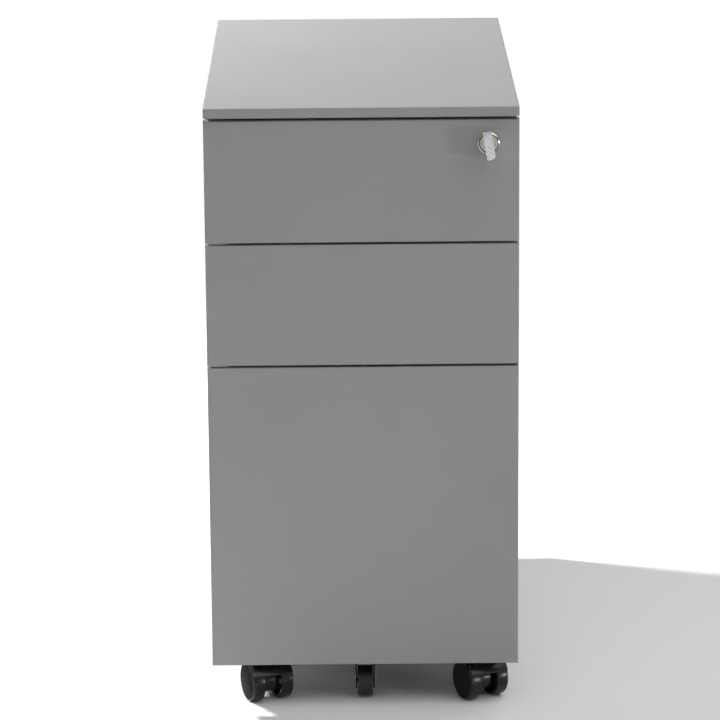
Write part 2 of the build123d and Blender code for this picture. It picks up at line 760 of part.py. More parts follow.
pieces = {
    "top_panel": top_panel(),
    "side_panel_right": right_side,
    "side_panel_left": mirrored(right_side),
    "back_panel": back_panel(),
    "base_panel": base_panel(),
    "top_front_rail": top_front_rail(),
    "castor_channels": Compound(channels),
    "small_slide_rails": Compound([rail.solid() for rail in small_rails]),
    "file_slide_rails": both_sides(slide_outer(file_outer_half, file_slide_z)),
    "file_slide_middles": both_sides(slide_middle(file_slide_z)),
    "top_drawer_front": drawer_front(top_front_z) - lock_hole(),
    "top_drawer_liner": front_liner(top_front_z) - lock_hole(),
    "top_drawer_tray": small_tray(top_tray_z),
    "middle_drawer_front": drawer_front(middle_front_z),
    "middle_drawer_liner": front_liner(middle_front_z),
    "middle_drawer_tray": small_tray(middle_tray_z),
    "file_drawer_front": drawer_front(file_front_z),
    "file_drawer_liner": front_liner(file_front_z),
    "file_drawer_tray": file_tray(),
    "file_hang_rails": hang_rails(),
    "lock_housing": lock_housing(),
    "lock_nut": lock_nut(),
    "lock_plug": lock_plug(),
    "lock_cam": lock_cam(),
    "key_blade": key_blade(),
    "key_head": key_head(),
    "lock_bar": lock_bar(),
    "lock_bar_guides": lock_bar_guides(),
    "castor_plates": castor_plates(),
    "fifth_castor_fork": fifth_fork(),
    "fifth_castor_wheel": fifth_wheel(),
}

for drawer, z in (("top", top_slide_z), ("middle", middle_slide_z), ("file", file_slide_z)):
    pieces[drawer + "_drawer_runners"] = both_sides(slide_inner(z))
    pieces[drawer + "_drawer_catch"] = drawer_catch(catch_z[drawer])

cage_start = SLIDE_SHEET + CAGE_STANDOFF
for drawer, z in (("top", top_slide_z), ("middle", middle_slide_z)):
    cage = ball_cage(INNER_HALF, cage_start, z, SMALL_TRAVEL)
    pieces[drawer + "_ball_cages"] = both_sides(cage)
outer_cage = ball_cage(middle_half, cage_start, file_slide_z, FILE_TRAVEL / 2)
inner_start = cage_start + SLIDE_SHEET + CAGE_ROOM
inner_cage = ball_cage(INNER_HALF, inner_start, file_slide_z, FILE_TRAVEL / 2)
pieces["file_outer_ball_cages"] = both_sides(outer_cage)
pieces["file_inner_ball_cages"] = both_sides(inner_cage)

hood = castor_hood()
right_wheel = castor_wheel()
left_wheel = mirrored(right_wheel)
for corner, (x, y, turn) in CASTORS.items():
    place = Pos(x, y, 0) * Rot(0, 0, turn)
    pieces["castor_" + corner + "_hood"] = place * hood
    pieces["castor_" + corner + "_wheel_a"] = place * left_wheel
    pieces["castor_" + corner + "_wheel_b"] = place * right_wheel

os.makedirs("parts", exist_ok=True)
for name, shape in pieces.items():
    export_step(shape, "parts/" + name + ".step")
print(len(pieces), "nodes")
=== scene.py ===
# %% [markdown]
# # A slim steel drawer pedestal, dressed for a studio picture
#
# The CAD model already holds every sheet, slide, lock part and castor at its true size. This lesson
# loads it as a fixed frame, gives each finish of the real object its own material, adds the small
# turned and moulded pieces that CAD keeps plain, and sets up the floor, the lamps and the camera.
# All lengths are in metres, like those of the frame.

import json
from math import cos, radians, sin

import bmesh
import bpy
from mathutils import Matrix, Vector

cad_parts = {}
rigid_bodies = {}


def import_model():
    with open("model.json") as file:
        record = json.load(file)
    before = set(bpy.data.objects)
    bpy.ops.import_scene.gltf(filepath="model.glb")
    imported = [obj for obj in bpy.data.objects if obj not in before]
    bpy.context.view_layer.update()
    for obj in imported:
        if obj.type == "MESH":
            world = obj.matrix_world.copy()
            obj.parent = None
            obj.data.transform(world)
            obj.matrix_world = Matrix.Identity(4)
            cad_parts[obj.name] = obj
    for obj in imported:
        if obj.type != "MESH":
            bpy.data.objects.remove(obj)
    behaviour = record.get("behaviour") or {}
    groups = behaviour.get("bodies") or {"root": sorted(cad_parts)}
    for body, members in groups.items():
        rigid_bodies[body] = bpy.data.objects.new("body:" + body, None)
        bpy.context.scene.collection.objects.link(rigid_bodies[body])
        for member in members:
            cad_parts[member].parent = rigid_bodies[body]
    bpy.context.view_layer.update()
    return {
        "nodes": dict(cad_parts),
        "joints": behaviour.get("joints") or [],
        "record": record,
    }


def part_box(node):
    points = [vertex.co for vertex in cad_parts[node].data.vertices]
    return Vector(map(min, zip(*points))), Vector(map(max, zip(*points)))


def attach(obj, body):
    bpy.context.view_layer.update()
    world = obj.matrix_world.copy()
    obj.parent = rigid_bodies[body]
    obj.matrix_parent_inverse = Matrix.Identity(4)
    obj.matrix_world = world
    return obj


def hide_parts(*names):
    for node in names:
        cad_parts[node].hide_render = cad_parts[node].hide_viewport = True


for leftover in list(bpy.data.objects):
    bpy.data.objects.remove(leftover)
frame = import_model()
joints = {joint["name"]: joint for joint in frame["joints"]}

# %% [markdown]
# ## Node helpers
#
# A procedural finish is a small chain: coordinates, a noise, a map of that noise to the values that
# the finish needs, and the shader. Object coordinates are used throughout, because every piece sits at
# the origin: a noise of scale 1000 then has cells of about a millimetre on any piece. Most of a noise
# lies between 0.3 and 0.7, so the maps start and end there.

# %% Small helpers for materials
NOISE_LOW, NOISE_HIGH = 0.3, 0.7


def new_finish(name):
    """A material, with its nodes, its links, its shader and the coordinates."""
    finish = bpy.data.materials.new(name)
    finish.use_nodes = True
    nodes = finish.node_tree.nodes
    shader = nodes["Principled BSDF"]
    coords = nodes.new("ShaderNodeTexCoord")
    return finish, nodes, finish.node_tree.links, shader, coords.outputs["Object"]


def add_noise(nodes, links, where, scale, detail=2.0):
    noise = nodes.new("ShaderNodeTexNoise")
    noise.inputs["Scale"].default_value = scale
    noise.inputs["Detail"].default_value = detail
    links.new(where, noise.inputs["Vector"])
    return noise.outputs["Fac"]


def add_ramp(nodes, links, value, low, high):
    """Maps the middle of a noise to a colour between two greys or tints."""
    ramp = nodes.new("ShaderNodeValToRGB")
    first, last = ramp.color_ramp.elements
    first.position = NOISE_LOW
    last.position = NOISE_HIGH
    first.color = (*low, 1)
    last.color = (*high, 1)
    links.new(value, ramp.inputs["Fac"])
    return ramp.outputs["Color"]


def add_range(nodes, links, value, low, high):
    """Maps the middle of a noise to a range of plain numbers."""
    span = nodes.new("ShaderNodeMapRange")
    span.inputs["From Min"].default_value = NOISE_LOW
    span.inputs["From Max"].default_value = NOISE_HIGH
    span.inputs["To Min"].default_value = low
    span.inputs["To Max"].default_value = high
    links.new(value, span.inputs["Value"])
    return span.outputs["Result"]


def add_bump(nodes, links, height, shader, strength, distance):
    bump = nodes.new("ShaderNodeBump")
    bump.inputs["Strength"].default_value = strength
    bump.inputs["Distance"].default_value = distance
    links.new(height, bump.inputs["Height"])
    links.new(bump.outputs["Normal"], shader.inputs["Normal"])


print("noises are mapped from", NOISE_LOW, "to", NOISE_HIGH)

# %% [markdown]
# ## Powder coat
#
# The case is baked powder paint in silver grey. Close up it has a fine grain where the powder melted,
# and a slower ripple like orange peel. One noise gives the grain of the colour and the roughness, a
# second one the broad unevenness of a hand-held spray gun, and a third the ripple of the surface.

# %% Powder coat
GRAIN_SCALE, CLOUD_SCALE, PEEL_SCALE = 1500.0, 7.0, 420.0
GRAIN_DARK, GRAIN_LIGHT, CLOUD_DARK = 0.93, 1.06, 0.96
PAINT_SMOOTH, PAINT_ROUGH, PAINT_SHINE = 0.72, 0.86, 0.12
PEEL_STRENGTH, PEEL_DEPTH = 0.12, 0.0002


def make_powder_coat(name, grey):
    finish, nodes, links, shader, where = new_finish(name)
    grain = add_noise(nodes, links, where, GRAIN_SCALE, detail=3.0)
    cloud = add_noise(nodes, links, where, CLOUD_SCALE)
    fine = add_ramp(nodes, links, grain, [c * GRAIN_DARK for c in grey], [c * GRAIN_LIGHT for c in grey])
    broad = add_ramp(nodes, links, cloud, [CLOUD_DARK] * 3, [1.0] * 3)
    mix = nodes.new("ShaderNodeMix")
    mix.data_type = "RGBA"
    mix.blend_type = "MULTIPLY"
    mix.inputs["Factor"].default_value = 1.0
    links.new(fine, mix.inputs["A"])
    links.new(broad, mix.inputs["B"])
    links.new(mix.outputs["Result"], shader.inputs["Base Color"])
    links.new(add_range(nodes, links, grain, PAINT_SMOOTH, PAINT_ROUGH), shader.inputs["Roughness"])
    shader.inputs["Specular IOR Level"].default_value = PAINT_SHINE
    peel = add_noise(nodes, links, where, PEEL_SCALE)
    add_bump(nodes, links, peel, shader, PEEL_STRENGTH, PEEL_DEPTH)
    return finish


powder_coat = make_powder_coat("silver_grey_powder_coat", (0.320, 0.323, 0.320))
black_paint = make_powder_coat("black_powder_coat", (0.018, 0.018, 0.019))
print("powder coats:", powder_coat.name, black_paint.name)

# %% [markdown]
# ## Metal parts
#
# The slides, the bar of the lock and the castor plates are zinc plated: a metal with a faint spangle
# and drawn lines along the strip. The lock is nickel, which is warmer and smoother, and its plug is worn
# by the key. All three are the same chain with other numbers, so one function makes them.

# %% Plated metals
DRAWN_SCALE, DRAWN_STRETCH = 1800.0, (1.0, 0.03, 1.0)
DRAWN_SMOOTH, DRAWN_ROUGH = 0.8, 1.25
DRAWN_STRENGTH, DRAWN_DEPTH = 0.08, 0.0001


def make_plating(name, tint, rough, spangle_scale, worn=0.88):
    """A bright metal whose darker spots have a share of the tint."""
    finish, nodes, links, shader, where = new_finish(name)
    spangle = add_noise(nodes, links, where, spangle_scale)
    turned = nodes.new("ShaderNodeMapping")
    turned.inputs["Scale"].default_value = DRAWN_STRETCH
    links.new(where, turned.inputs["Vector"])
    drawn = add_noise(nodes, links, turned.outputs["Vector"], DRAWN_SCALE)
    colour = add_ramp(nodes, links, spangle, [c * worn for c in tint], tint)
    links.new(colour, shader.inputs["Base Color"])
    shader.inputs["Metallic"].default_value = 1.0
    sheen = add_range(nodes, links, drawn, rough * DRAWN_SMOOTH, rough * DRAWN_ROUGH)
    links.new(sheen, shader.inputs["Roughness"])
    add_bump(nodes, links, drawn, shader, DRAWN_STRENGTH, DRAWN_DEPTH)
    return finish


zinc = make_plating("zinc_plating", (0.62, 0.63, 0.63), rough=0.36, spangle_scale=160.0)
nickel = make_plating("nickel_plating", (0.36, 0.33, 0.285), rough=0.18, spangle_scale=500.0)
plug_nickel = make_plating(
    "worn_nickel_plating", (0.66, 0.60, 0.52), rough=0.36, spangle_scale=900.0, worn=0.5
)
print("metals:", zinc.name, nickel.name, plug_nickel.name)

# %% [markdown]
# ## Moulded plastics
#
# The castors are black nylon: a soft sheen on the hoods, treads that are worn smooth, and matt caps on
# the wheels. The ball cages are natural nylon, and the key's grip is a pale plastic with a coarse grain
# whose light flecks in the colour are painted glints. The grain of a mould shows in the colour, in the
# roughness and as a shallow bump, and most of all on the grip.

# %% Plastics
MOULD_SMOOTH, MOULD_ROUGH, MOULD_DEPTH = 0.85, 1.2, 0.0002


def make_plastic(name, low, high, grain_scale, rough, bump, shine=0.5):
    """A plastic whose grain runs between two colours."""
    finish, nodes, links, shader, where = new_finish(name)
    grain = add_noise(nodes, links, where, grain_scale, detail=3.0)
    links.new(add_ramp(nodes, links, grain, low, high), shader.inputs["Base Color"])
    sheen = add_range(nodes, links, grain, rough * MOULD_SMOOTH, rough * MOULD_ROUGH)
    links.new(sheen, shader.inputs["Roughness"])
    shader.inputs["Specular IOR Level"].default_value = shine
    add_bump(nodes, links, grain, shader, bump, MOULD_DEPTH)
    return finish


castor_black = make_plastic(
    "black_castor_nylon", (0.004, 0.004, 0.0045), (0.009, 0.009, 0.0095),
    grain_scale=900.0, rough=0.27, bump=0.10, shine=0.35,
)
wheel_black = make_plastic(
    "black_wheel", (0.005, 0.005, 0.0055), (0.010, 0.010, 0.0105),
    grain_scale=500.0, rough=0.24, bump=0.03, shine=0.32,
)
cap_black = make_plastic(
    "black_castor_cap", (0.006, 0.006, 0.0065), (0.014, 0.014, 0.0145),
    grain_scale=1200.0, rough=0.75, bump=0.30, shine=0.15,
)
tread_black = make_plastic(
    "black_tread", (0.012, 0.012, 0.012), (0.022, 0.022, 0.022), grain_scale=700.0, rough=0.55, bump=0.25
)
cage_nylon = make_plastic(
    "natural_nylon", (0.62, 0.60, 0.53), (0.70, 0.68, 0.61), grain_scale=300.0, rough=0.45, bump=0.05
)
# The light flecks in the grip's colour are painted glints; its bump and roughness are the real grain.
key_grip = make_plastic(
    "key_grip_painted_glints", (0.42, 0.42, 0.44), (0.92, 0.92, 0.93), grain_scale=800.0, rough=0.40, bump=0.45
)
plastics = [castor_black, wheel_black, cap_black, tread_black, cage_nylon, key_grip]
print("plastics:", [plastic.name for plastic in plastics])

# %% [markdown]
# ## Dress the CAD nodes
#
# Each CAD node already names the slot of its finish in the record, so the material that came with the
# model is replaced by the finish of that slot. The plug is the one node with a finish of its own.

# %% Give every node its finish
finishes = {
    "powder_coat": powder_coat,
    "black_paint": black_paint,
    "zinc": zinc,
    "nickel": nickel,
    "key_grip": key_grip,
    "castor_black": castor_black,
    "cage_nylon": cage_nylon,
}
for subpart in frame["record"]["subparts"]:
    node = frame["nodes"][subpart["node"]]
    node.data.materials.clear()
    node.data.materials.append(finishes[subpart["material_slot"]])
frame["nodes"]["lock_plug"].data.materials[0] = plug_nickel

# %% [markdown]
# ## Turned pieces
#
# Wheels, the lock's collar and rivets are all turned: a profile swept once round an axis. In bmesh
# that is a chain of vertices and `spin`. The profile gives radius and distance along the axis, so the
# same helper serves a castor that is swung to any angle. Bevelling the sharp rings afterwards rounds
# the edges that catch the light.

# %% Helpers for pieces
SAME_POINT, SAME_RING = 1e-6, 1e-5


def finish_piece(name, bm, body, finish, smooth=40):
    """Makes an object of a bmesh, shades it smooth up to an angle and lets it ride on a body."""
    mesh = bpy.data.meshes.new(name)
    bm.to_mesh(mesh)
    bm.free()
    mesh.materials.append(finish)
    mesh.shade_smooth()
    mesh.set_sharp_from_angle(angle=radians(smooth))
    piece = bpy.data.objects.new(name, mesh)
    bpy.context.scene.collection.objects.link(piece)
    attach(piece, body)
    return piece


def spin_profile(bm, profile, centre, axis, steps=64):
    """Turns a profile of (radius, distance along the axis) about an axis."""
    axis = Vector(axis).normalized()
    out = axis.orthogonal().normalized()
    verts = [bm.verts.new(Vector(centre) + out * r + axis * h) for r, h in profile]
    edges = [bm.edges.new(pair) for pair in zip(verts, verts[1:])]
    bmesh.ops.spin(
        bm, geom=verts + edges, cent=centre, axis=axis, angle=radians(360), steps=steps, use_merge=True
    )
    bmesh.ops.remove_doubles(bm, verts=bm.verts, dist=SAME_POINT)
    bmesh.ops.recalc_face_normals(bm, faces=bm.faces)


def round_rings(bm, centre, axis, radius, along, width, segments):
    """Bevels the ring of edges at a radius and a distance along the axis."""
    axis = Vector(axis).normalized()
    ring = []
    for edge in bm.edges:
        ends = [vert.co - Vector(centre) for vert in edge.verts]
        heights = [abs(end.dot(axis) - along) for end in ends]
        radii = [abs((end - axis * end.dot(axis)).length - radius) for end in ends]
        if max(heights + radii) < SAME_RING:
            ring.append(edge)
    bmesh.ops.bevel(
        bm, geom=ring, offset=width, offset_type="OFFSET", segments=segments, profile=0.5,
        affect="EDGES", material=-1,
    )


print("points nearer than", SAME_POINT, "m are joined")

# %% [markdown]
# ## Castor wheels
#
# Each castor has two black wheels, hollow on the inside, with a rounded edge and a flat cap let into
# the outer side. The cap is a mould with a matt grain, while the tread is worn smooth, so they are two
# pieces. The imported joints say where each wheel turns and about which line, so the profiles are spun
# there: wheel a lies against the direction of that line from the castor's middle, wheel b along it.

# %% Castor wheels
WHEEL_RADIUS, RECESS_RADIUS, CAVITY_RADIUS, AXLE_RADIUS = 0.0200, 0.0180, 0.0170, 0.0032
WHEEL_INNER, CAVITY_FLOOR, AXLE_END, RECESS_FLOOR, WHEEL_OUTER = 0.0086, 0.0146, 0.0198, 0.0202, 0.0210
OUTER_EDGE, INNER_EDGE = 0.0018, 0.0008
CAP_RADIUS, CAP_FLAT, CAP_RIM = 0.01785, 0.01765, 0.0209
WHEEL_PROFILE = [
    (0.0, AXLE_END), (AXLE_RADIUS, AXLE_END), (AXLE_RADIUS, CAVITY_FLOOR), (CAVITY_RADIUS, CAVITY_FLOOR),
    (CAVITY_RADIUS, WHEEL_INNER), (WHEEL_RADIUS, WHEEL_INNER), (WHEEL_RADIUS, WHEEL_OUTER),
    (RECESS_RADIUS, WHEEL_OUTER), (RECESS_RADIUS, RECESS_FLOOR), (0.0, RECESS_FLOOR),
]
CAP_PROFILE = [
    (0.0, RECESS_FLOOR), (CAP_RADIUS, RECESS_FLOOR), (CAP_RADIUS, CAP_RIM), (CAP_FLAT, WHEEL_OUTER),
    (0.0, WHEEL_OUTER),
]
corners = ["front_left", "front_right", "rear_left", "rear_right"]
for corner in corners:
    for side, sign in (("a", -1), ("b", 1)):
        node = f"castor_{corner}_wheel_{side}"
        centre = joints[node + "_roll"]["pos_m"]
        axis = Vector(joints[node + "_roll"]["axis"]) * sign
        bm = bmesh.new()
        spin_profile(bm, WHEEL_PROFILE, centre, axis)
        round_rings(bm, centre, axis, WHEEL_RADIUS, WHEEL_OUTER, OUTER_EDGE, segments=5)
        round_rings(bm, centre, axis, WHEEL_RADIUS, WHEEL_INNER, INNER_EDGE, segments=3)
        wheel = finish_piece(node + "_moulded", bm, node, wheel_black)
        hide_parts(node)
        bm = bmesh.new()
        spin_profile(bm, CAP_PROFILE, centre, axis)
        finish_piece(node + "_cap", bm, node, cap_black)
print("castor wheels:", 2 * len(corners))

# %% [markdown]
# ## Castor hubs
#
# Between its two wheels a castor has a round hub, which is moulded in one with the hood and carries the
# axle. It turns with the hood when the castor swings, and stays still when the wheels roll.

# %% Castor hubs
HUB_RADIUS, HUB_HALF, HUB_EDGE = 0.0126, 0.0075, 0.0012
HUB_PROFILE = [(0.0, -HUB_HALF), (HUB_RADIUS, -HUB_HALF), (HUB_RADIUS, HUB_HALF), (0.0, HUB_HALF)]
for corner in corners:
    joint = joints[f"castor_{corner}_wheel_a_roll"]
    bm = bmesh.new()
    spin_profile(bm, HUB_PROFILE, joint["pos_m"], joint["axis"])
    for along in (-HUB_HALF, HUB_HALF):
        round_rings(bm, joint["pos_m"], joint["axis"], HUB_RADIUS, along, HUB_EDGE, segments=3)
    finish_piece(f"castor_{corner}_hub", bm, f"castor_{corner}", castor_black)
print("castor hubs:", len(corners))

# %% [markdown]
# ## Edges of folded and moulded pieces
#
# The CAD nodes have the right form but knife-sharp edges. Three modifiers do the rest without touching
# the mesh itself: Weld joins the loose triangles, Decimate dissolves them into flat faces, and Bevel
# rounds every edge above an angle. Mouldings get a wide edge, folded sheet a narrow one.

# %% Soften edges
MOULD_EDGE, SHEET_EDGE = 0.0006, 0.00025
FLAT_ANGLE, SHARP_ANGLE = radians(0.5), radians(40)


def soften_edges(node, width, segments):
    piece = frame["nodes"][node]
    weld = piece.modifiers.new("join_triangles", "WELD")
    weld.merge_threshold = SAME_POINT
    flat = piece.modifiers.new("flat_faces", "DECIMATE")
    flat.decimate_type = "DISSOLVE"
    flat.angle_limit = FLAT_ANGLE
    edge = piece.modifiers.new("round_edges", "BEVEL")
    edge.width = width
    edge.segments = segments
    edge.limit_method = "ANGLE"
    edge.angle_limit = SHARP_ANGLE


mouldings = [f"castor_{corner}_hood" for corner in corners] + ["key_head"]
for node in mouldings:
    soften_edges(node, MOULD_EDGE, segments=3)
drawers = ["top", "middle", "file"]
sheets = [
    "side_panel_left", "side_panel_right", "back_panel", "base_panel", "top_front_rail", "castor_channels",
    "small_slide_rails", "file_slide_rails", "file_slide_middles", "file_hang_rails", "lock_bar",
    "lock_bar_guides", "castor_plates", "fifth_castor_fork",
]
for drawer in drawers:
    sheets += [f"{drawer}_drawer_{piece}" for piece in ("liner", "tray", "runners", "catch")]
for node in sheets:
    soften_edges(node, SHEET_EDGE, segments=2)
print("softened pieces:", len(mouldings) + len(sheets))

# %% [markdown]
# ## Top panel
#
# The top is a shallow pan pressed from one sheet, with rounded corners that a plain fold can't have. It
# is built as a stack of rounded rectangles: up the inside, under the lip, up the outside and over the
# edge. Faces bridge each loop to the next, and the Weighted Normal modifier keeps the wide faces flat
# next to their narrow rounded edges. A strip behind the foot of the front lip is the sheet's return.

# %% Loops of the top panel
TOP_GAUGE, TOP_EDGE, TOP_CORNER, TOP_RETURN, LIP_EDGE = 0.0010, 0.0011, 0.0025, 0.0120, 0.0003
top_low, top_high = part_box("top_panel")


def rounded_loop(bm, inset, z, steps=6):
    """A ring of vertices on the panel's plan, drawn in by an inset."""
    radius = TOP_CORNER - inset
    left, right = top_low.x + TOP_CORNER, top_high.x - TOP_CORNER
    front, back = top_low.y + TOP_CORNER, top_high.y - TOP_CORNER
    ring = []
    for quarter, (x, y) in enumerate([(right, back), (left, back), (left, front), (right, front)]):
        for step in range(steps + 1):
            turn = radians(90 * (quarter + step / steps))
            ring.append(bm.verts.new((x + radius * cos(turn), y + radius * sin(turn), z)))
    return ring


def quarter_round(inset, top, radius, steps=5):
    """Insets and heights from a wall over its rounded edge to the flat."""
    turns = [radians(90 * step / steps) for step in range(steps + 1)]
    return [(inset + radius * (1 - cos(turn)), top - radius * (1 - sin(turn))) for turn in turns]


stack = quarter_round(TOP_GAUGE, top_high.z - TOP_GAUGE, TOP_EDGE - TOP_GAUGE)[::-1]
stack += [(TOP_GAUGE, top_low.z + LIP_EDGE), (TOP_GAUGE - LIP_EDGE, top_low.z)]
stack += [(LIP_EDGE, top_low.z), (0.0, top_low.z + LIP_EDGE)]
stack += quarter_round(0.0, top_high.z, TOP_EDGE)
print("top panel loops:", len(stack))

# %% Top panel
bm = bmesh.new()
rings = [rounded_loop(bm, inset, z) for inset, z in stack]
for near, far in zip(rings, rings[1:]):
    for index in range(len(near)):
        after = (index + 1) % len(near)
        bm.faces.new((near[index], near[after], far[after], far[index]))
bm.faces.new(rings[0])
bm.faces.new(rings[-1])
strip = bmesh.ops.create_cube(bm, size=1.0)["verts"]
for vert in strip:
    vert.co.x *= top_high.x - top_low.x - 2 * TOP_GAUGE
    vert.co.y = top_low.y + (TOP_GAUGE if vert.co.y < 0 else TOP_RETURN)
    vert.co.z = top_low.z + (0.0 if vert.co.z < 0 else TOP_GAUGE)
bmesh.ops.recalc_face_normals(bm, faces=bm.faces)
top_piece = finish_piece("top_panel_pressed", bm, "carcass", powder_coat)
top_piece.modifiers.new("flat_wide_faces", "WEIGHTED_NORMAL").keep_sharp = True
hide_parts("top_panel")
print("top panel faces:", len(top_piece.data.polygons))

# %% [markdown]
# ## The lock's collar
#
# The collar is what shows of the lock: a nickel ring that slopes to a rounded rim, and a groove between
# it and the plug. A black ring in the groove is painted shade, which stands for the dark gap there. The
# slope makes each side of the ring mirror another part of the room. The whole housing is turned again
# here with that ring and groove, and with the screw thread that its nut runs on behind the drawer front.
# Rings do for so fine a thread. Lengths along the axis start at the face of the drawer front.

# %% Profiles of the lock
LOCK_AXIS, LOCK_STEPS = (0.0, -1.0, 0.0), 96
HOUSING_BACK, BORE_RADIUS = -0.0295, 0.00845
THREAD_ROOT, THREAD_CREST, THREAD_PITCH, THREAD_TURNS = 0.0090, 0.0094, 0.0010, 24
COLLAR_RADIUS, SLOPE_RADIUS, GROOVE_RADIUS = 0.0110, 0.0107, 0.0093
RIM_HEIGHT, SLOPE_HEIGHT, COLLAR_HEIGHT, RIM_EDGE = 0.0013, 0.0017, 0.0025, 0.0002
GROOVE_FLOOR, GAP_SHADE_HEIGHT = 0.0004, 0.0021
housing = [(BORE_RADIUS, HOUSING_BACK), (THREAD_ROOT, HOUSING_BACK)]
for turn in range(THREAD_TURNS):
    crest = HOUSING_BACK + (turn + 0.5) * THREAD_PITCH
    housing += [(THREAD_CREST, crest), (THREAD_ROOT, crest + 0.5 * THREAD_PITCH)]
housing += [
    (THREAD_ROOT, 0.0), (COLLAR_RADIUS, 0.0), (COLLAR_RADIUS, RIM_HEIGHT), (SLOPE_RADIUS, SLOPE_HEIGHT),
    (GROOVE_RADIUS, COLLAR_HEIGHT), (GROOVE_RADIUS, GROOVE_FLOOR), (BORE_RADIUS, GROOVE_FLOOR),
    (BORE_RADIUS, HOUSING_BACK),
]
# The black ring in the groove is painted shade: it stands for the dark gap between plug and housing.
gap_shade_profile = [
    (BORE_RADIUS, GROOVE_FLOOR), (GROOVE_RADIUS, GROOVE_FLOOR), (GROOVE_RADIUS, GAP_SHADE_HEIGHT),
    (BORE_RADIUS, GAP_SHADE_HEIGHT), (BORE_RADIUS, GROOVE_FLOOR),
]
print("points of the housing and the seal:", len(housing), len(gap_shade_profile))

# %% Lock collar
lock_centre = joints["lock_turn"]["pos_m"]
bm = bmesh.new()
spin_profile(bm, housing, lock_centre, LOCK_AXIS, steps=LOCK_STEPS)
round_rings(bm, lock_centre, LOCK_AXIS, SLOPE_RADIUS, SLOPE_HEIGHT, RIM_EDGE, segments=3)
round_rings(bm, lock_centre, LOCK_AXIS, COLLAR_RADIUS, RIM_HEIGHT, RIM_EDGE, segments=3)
collar = finish_piece("lock_collar", bm, "top_drawer", nickel, smooth=50)
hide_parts("lock_housing")
# A black ring of painted shade fills most of the groove, where the gap lies in shade.
bm = bmesh.new()
spin_profile(bm, gap_shade_profile, lock_centre, LOCK_AXIS, steps=LOCK_STEPS)
shade_ring = finish_piece("lock_painted_gap_shade", bm, "top_drawer", tread_black)
print("lock collar and seal faces:", len(collar.data.polygons), len(shade_ring.data.polygons))

# %% [markdown]
# ## Fifth castor
#
# The small wheel under the filing drawer has a grooved tread and runs on a rivet with domed heads.

# %% Wheel of the fifth castor
FIFTH_RADIUS, FIFTH_BORE, FIFTH_HALF, FIFTH_EDGE = 0.0150, 0.00255, 0.0075, 0.0008
TREAD_GROOVES, TREAD_START, TREAD_PITCH, TREAD_WIDTH, TREAD_DEPTH = 5, -0.0055, 0.0024, 0.0010, 0.0003
fifth = joints["fifth_wheel_roll"]
rim, groove_floor = FIFTH_RADIUS - FIFTH_EDGE, FIFTH_RADIUS - TREAD_DEPTH
tread = [(FIFTH_BORE, -FIFTH_HALF), (rim, -FIFTH_HALF), (FIFTH_RADIUS, FIFTH_EDGE - FIFTH_HALF)]
for groove in range(TREAD_GROOVES):
    start = TREAD_START + groove * TREAD_PITCH
    end = start + TREAD_WIDTH
    tread += [(FIFTH_RADIUS, start), (groove_floor, start + TREAD_DEPTH)]
    tread += [(groove_floor, end - TREAD_DEPTH), (FIFTH_RADIUS, end)]
tread += [(FIFTH_RADIUS, FIFTH_HALF - FIFTH_EDGE), (rim, FIFTH_HALF)]
tread += [(FIFTH_BORE, FIFTH_HALF), (FIFTH_BORE, -FIFTH_HALF)]
bm = bmesh.new()
spin_profile(bm, tread, fifth["pos_m"], fifth["axis"])
fifth_wheel = finish_piece("fifth_wheel_grooved", bm, "fifth_wheel", tread_black)
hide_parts("fifth_castor_wheel")
print("grooves in the tread:", TREAD_GROOVES)

# %% Rivet heads of the fifth castor
RIVET_DOME = [(0.0, 0.0010), (0.0022, 0.0009), (0.0036, 0.0004), (0.0040, 0.0), (0.0, 0.0)]
low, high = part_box("fifth_castor_fork")
half = (high.x - low.x) / 2
rivet_head = [(radius, half + height) for radius, height in RIVET_DOME]
bm = bmesh.new()
for side in (-1, 1):
    spin_profile(bm, rivet_head, fifth["pos_m"], Vector(fifth["axis"]) * side, steps=32)
finish_piece("fifth_castor_rivet_heads", bm, "file_drawer", zinc)
print("rivet heads over a fork of width", round(2 * half, 4))

# %% [markdown]
# ## Balls of the slides
#
# With a drawer pulled out, the rows of steel balls show in their cages. There are two hundred, so each
# is a coarse icosphere, and all balls of one cage body are one mesh that rides on that body.

# %% Steel balls
BALL_RADIUS = 0.00195
BALL_PITCH = 0.0095
CAGE_EDGE = 0.0017
BALL_REACH = 0.0032
cages = {
    "top_ball_cages": "top_cages",
    "middle_ball_cages": "middle_cages",
    "file_outer_ball_cages": "file_outer_cages",
    "file_inner_ball_cages": "file_inner_cages",
}
for node, body in cages.items():
    low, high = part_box(node)
    count = int((high.y - low.y - 2 * BALL_RADIUS) / BALL_PITCH)
    first = (low.y + high.y - (count - 1) * BALL_PITCH) / 2
    bm = bmesh.new()
    for x in (low.x + BALL_REACH, high.x - BALL_REACH):
        for z in (low.z + CAGE_EDGE, high.z - CAGE_EDGE):
            for index in range(count):
                place = Matrix.Translation((x, first + index * BALL_PITCH, z))
                bmesh.ops.create_icosphere(bm, subdivisions=2, radius=BALL_RADIUS, matrix=place)
    finish_piece(node + "_balls", bm, body, zinc, smooth=180)
    print(node, "balls:", 4 * count)

# %% [markdown]
# ## Screws
#
# Pan-head screws hold the castor plates to the base, and the slides to the trays. One helper makes a
# head from a short cylinder with a domed rim, and sinks a round recess by pulling its middle face in.

# %% Helper for screws
SCREW_RADIUS, SCREW_SIDES = 0.0036, 24
RIM_SHARE, DOME_SHARE, RECESS_SHARE, INSET_SHARE = 0.55, 0.45, 0.4, 0.3


